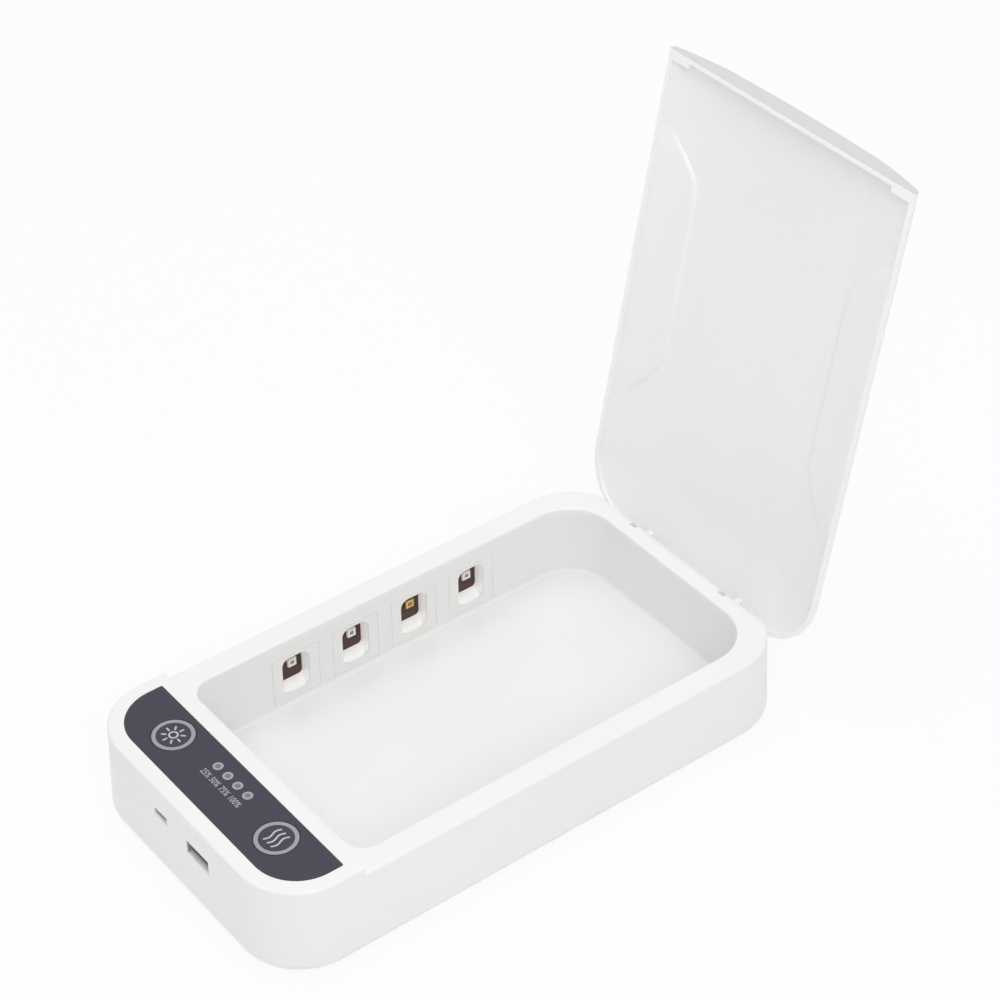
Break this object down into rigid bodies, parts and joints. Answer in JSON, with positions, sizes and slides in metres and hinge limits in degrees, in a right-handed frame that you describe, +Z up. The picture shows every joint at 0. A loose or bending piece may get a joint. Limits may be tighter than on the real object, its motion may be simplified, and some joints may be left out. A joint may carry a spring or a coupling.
{
  "type": "uv sanitizer box",
  "caption": "Flat white box with rounded corners, a tray with lamp pockets for a phone, a hinged domed lid and a raised deck with two round keys and charge lights.",
  "frame": {"origin": "centre of the base on the table", "axes": "+Z up, +Y towards the hinge end, -Y is the deck end with the ports, +X along the deck towards the fragrance key"},
  "size_m": [0.1212, 0.2642, 0.2011],
  "materials": {
    "shell_white": "satin white moulding",
    "tray_white": "satin white moulding",
    "panel_dark": "dark grey satin overlay",
    "ring_grey": "pale light ring",
    "black_plastic": "moulded black",
    "plunger_grey": "moulded grey",
    "light_clear": "clear moulding",
    "lamp_ceramic": "ceramic lamp package",
    "lamp_board": "brown laminate",
    "board_green": "green laminate",
    "cable_grey": "flat cable",
    "steel": "plated steel",
    "pad_felt": "felt",
    "heater_plate": "coated plate"
  },
  "bodies": {
    "case": {"main_housing": "shell_white", "tray": "tray_white", "bottom_cover": "shell_white", "cover_screws": "steel", "screw_plugs": "tray_white", "control_panel": "panel_dark", "clean_switch": "black_plastic", "aroma_switch": "black_plastic", "light_pipe": "light_clear", "indicator_led_1": "lamp_ceramic", "indicator_led_2": "lamp_ceramic", "indicator_led_3": "lamp_ceramic", "indicator_led_4": "lamp_ceramic", "control_board": "board_green", "controller_chip": "black_plastic", "board_screws": "steel", "usb_socket": "steel", "usb_tongue": "black_plastic", "micro_usb_socket": "steel", "micro_usb_tongue": "black_plastic", "lid_sensor": "black_plastic", "left_uv_board": "lamp_board", "right_uv_board": "lamp_board", "left_uv_led_1": "lamp_ceramic", "left_uv_led_2": "lamp_ceramic", "left_uv_led_3": "lamp_ceramic", "left_uv_led_4": "lamp_ceramic", "right_uv_led_1": "lamp_ceramic", "right_uv_led_2": "lamp_ceramic", "right_uv_led_3": "lamp_ceramic", "right_uv_led_4": "lamp_ceramic", "left_window_1": "tray_white", "left_window_2": "tray_white", "left_window_3": "tray_white", "left_window_4": "tray_white", "right_window_1": "tray_white", "right_window_2": "tray_white", "right_window_3": "tray_white", "right_window_4": "tray_white", "left_uv_cable": "cable_grey", "right_uv_cable": "cable_grey", "left_hinge_pin": "steel", "right_hinge_pin": "steel", "left_case_magnet": "steel", "right_case_magnet": "steel", "aroma_grille": "tray_white", "aroma_pad": "pad_felt", "aroma_heater": "heater_plate", "heater_cable": "cable_grey"},
    "lid": {"lid_shell": "shell_white", "left_lid_magnet": "steel", "right_lid_magnet": "steel"},
    "clean_key": {"clean_button": "panel_dark", "clean_ring": "ring_grey", "clean_plunger": "plunger_grey"},
    "aroma_key": {"aroma_button": "panel_dark", "aroma_ring": "ring_grey", "aroma_plunger": "plunger_grey"}
  },
  "joints": [
    {"name": "lid_hinge", "type": "hinge", "parent": "case", "child": "lid", "pos_m": [0, 0.10503, 0.02635], "axis": [1, 0, 0], "range_deg": [0, 101.2]},
    {"name": "clean_key_press", "type": "slide", "parent": "case", "child": "clean_key", "axis": [0, 0, -1], "range_m": [0, 0.0004], "stiffness_N_per_m": 1500, "springref_m": -0.0002},
    {"name": "aroma_key_press", "type": "slide", "parent": "case", "child": "aroma_key", "axis": [0, 0, -1], "range_m": [0, 0.0004], "stiffness_N_per_m": 1500, "springref_m": -0.0002}
  ]
}
